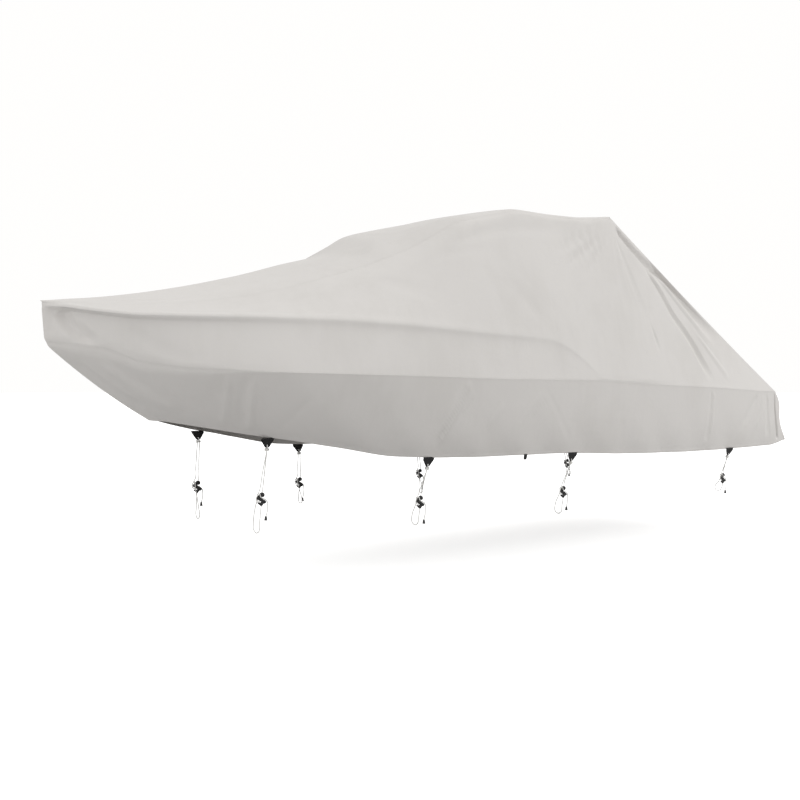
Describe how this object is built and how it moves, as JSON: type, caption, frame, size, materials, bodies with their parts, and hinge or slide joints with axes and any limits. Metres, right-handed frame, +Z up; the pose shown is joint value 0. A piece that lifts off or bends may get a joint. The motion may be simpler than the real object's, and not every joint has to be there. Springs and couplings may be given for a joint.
{
  "type": "fitted boat cover with tie-downs",
  "caption": "Fitted cloth cover for a trailer boat with a hardtop: centre panel, side panels, skirts and cord tie-downs with ratchets along the hem.",
  "frame": {"origin": "the mount under the middle of the cover's roof, 3.45 m aft of the nose and 2.90 m above the ground that the boat's trailer stands on", "axes": "+X aft from bow to stern, +Y to starboard, +Z up"},
  "size_m": [6.9727, 2.312, 2.5795],
  "materials": {
    "cover_cloth": "matt woven polyester, warm light grey",
    "black_webbing": "matt woven webbing",
    "black_plastic": "satin moulded plastic",
    "white_cord": "matt braided cord"
  },
  "bodies": {
    "root": {"top_panel": "cover_cloth", "side_panel_port": "cover_cloth", "side_panel_starboard": "cover_cloth", "skirt_port": "cover_cloth", "skirt_starboard": "cover_cloth", "stern_skirt": "cover_cloth", "tab_port_1": "black_webbing", "hanging_cord_port_1": "white_cord", "ratchet_port_1": "black_plastic", "running_cord_port_1": "white_cord", "stopper_port_1": "black_plastic", "tab_port_2": "black_webbing", "hanging_cord_port_2": "white_cord", "ratchet_port_2": "black_plastic", "running_cord_port_2": "white_cord", "stopper_port_2": "black_plastic", "tab_port_3": "black_webbing", "hanging_cord_port_3": "white_cord", "ratchet_port_3": "black_plastic", "running_cord_port_3": "white_cord", "stopper_port_3": "black_plastic", "tab_port_4": "black_webbing", "hanging_cord_port_4": "white_cord", "ratchet_port_4": "black_plastic", "running_cord_port_4": "white_cord", "stopper_port_4": "black_plastic", "small_tab_port": "black_webbing", "tab_starboard_1": "black_webbing", "hanging_cord_starboard_1": "white_cord", "ratchet_starboard_1": "black_plastic", "running_cord_starboard_1": "white_cord", "stopper_starboard_1": "black_plastic", "tab_starboard_2": "black_webbing", "hanging_cord_starboard_2": "white_cord", "ratchet_starboard_2": "black_plastic", "running_cord_starboard_2": "white_cord", "stopper_starboard_2": "black_plastic", "tab_starboard_3": "black_webbing", "hanging_cord_starboard_3": "white_cord", "ratchet_starboard_3": "black_plastic", "running_cord_starboard_3": "white_cord", "stopper_starboard_3": "black_plastic", "tab_starboard_4": "black_webbing", "hanging_cord_starboard_4": "white_cord", "ratchet_starboard_4": "black_plastic", "running_cord_starboard_4": "white_cord", "stopper_starboard_4": "black_plastic", "small_tab_starboard": "black_webbing"}
  },
  "joints": []
}
